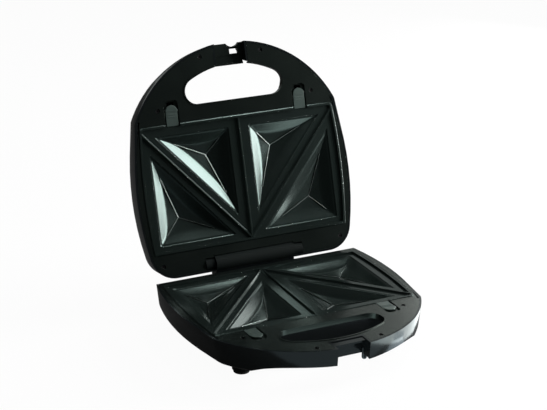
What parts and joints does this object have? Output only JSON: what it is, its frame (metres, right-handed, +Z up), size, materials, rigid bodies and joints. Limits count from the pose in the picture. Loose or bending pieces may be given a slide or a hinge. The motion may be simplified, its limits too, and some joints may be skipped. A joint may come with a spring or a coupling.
{
  "type": "sandwich toaster",
  "caption": "Hinged sandwich toaster, lid open, with triangular pocket plates in both halves, a bow handle with finger holes, a folding latch and plate release tabs.",
  "frame": {"origin": "on the table under the middle of the open toaster", "axes": "+X to the right seen from the handle end, +Y to the back where the hinge is, +Z up"},
  "size_m": [0.248, 0.3058, 0.2735],
  "materials": {
    "housing": "satin black moulding, faintly bluish",
    "deck": "satin black moulding",
    "non_stick": "black non-stick coat with a soft sheen",
    "release_tab": "dark grey moulding",
    "steel": "zinc plated",
    "black_steel": "black oxide",
    "element": "dull steel tube",
    "tray": "bare sheet",
    "rubber": "soft matt rubber",
    "terminal": "ivory moulding",
    "lens_red": "clear red moulding",
    "lens_green": "clear green moulding",
    "lamp": "clear glass tube"
  },
  "bodies": {
    "base": {"base_shell": "housing", "base_deck": "deck", "base_plate": "non_stick", "base_element": "element", "base_reflector": "tray", "base_screws": "black_steel", "foot_pads": "rubber", "cord_bush": "deck", "cord_clamp": "deck", "cord_clamp_screws": "steel", "terminal_block": "terminal", "hinge_pins": "steel"},
    "lid": {"lid_shell": "housing", "lid_deck": "deck", "lid_plate": "non_stick", "lid_element": "element", "lid_reflector": "tray", "lid_screws": "black_steel", "thermostat": "steel", "thermal_fuse": "steel", "power_lens": "lens_red", "ready_lens": "lens_green", "neon_lamps": "lamp", "latch_pins": "steel"},
    "latch": {"latch_clip": "deck"},
    "base_tab_left": {"base_release_left": "release_tab"},
    "base_tab_right": {"base_release_right": "release_tab"},
    "lid_tab_left": {"lid_release_left": "release_tab"},
    "lid_tab_right": {"lid_release_right": "release_tab"}
  },
  "joints": [
    {"name": "lid_hinge", "type": "hinge", "parent": "base", "child": "lid", "pos_m": [0, 0.07767, 0.051], "axis": [1, 0, 0], "range_deg": [0, 106]},
    {"name": "latch_hinge", "type": "hinge", "parent": "lid", "child": "latch", "pos_m": [0, 0.14485, 0.26424], "axis": [1, 0, 0], "range_deg": [-90, 0]},
    {"name": "base_release_left_slide", "type": "slide", "parent": "base", "child": "base_tab_left", "axis": [0, -1, 0], "range_m": [0, 0.0045], "stiffness_N_per_m": 500, "springref_m": -0.001},
    {"name": "base_release_right_slide", "type": "slide", "parent": "base", "child": "base_tab_right", "axis": [0, -1, 0], "range_m": [0, 0.0045], "stiffness_N_per_m": 500, "springref_m": -0.001},
    {"name": "lid_release_left_slide", "type": "slide", "parent": "lid", "child": "lid_tab_left", "axis": [0, 0.2756, 0.9613], "range_m": [0, 0.0045], "stiffness_N_per_m": 500, "springref_m": -0.001},
    {"name": "lid_release_right_slide", "type": "slide", "parent": "lid", "child": "lid_tab_right", "axis": [0, 0.2756, 0.9613], "range_m": [0, 0.0045], "stiffness_N_per_m": 500, "springref_m": -0.001}
  ]
}
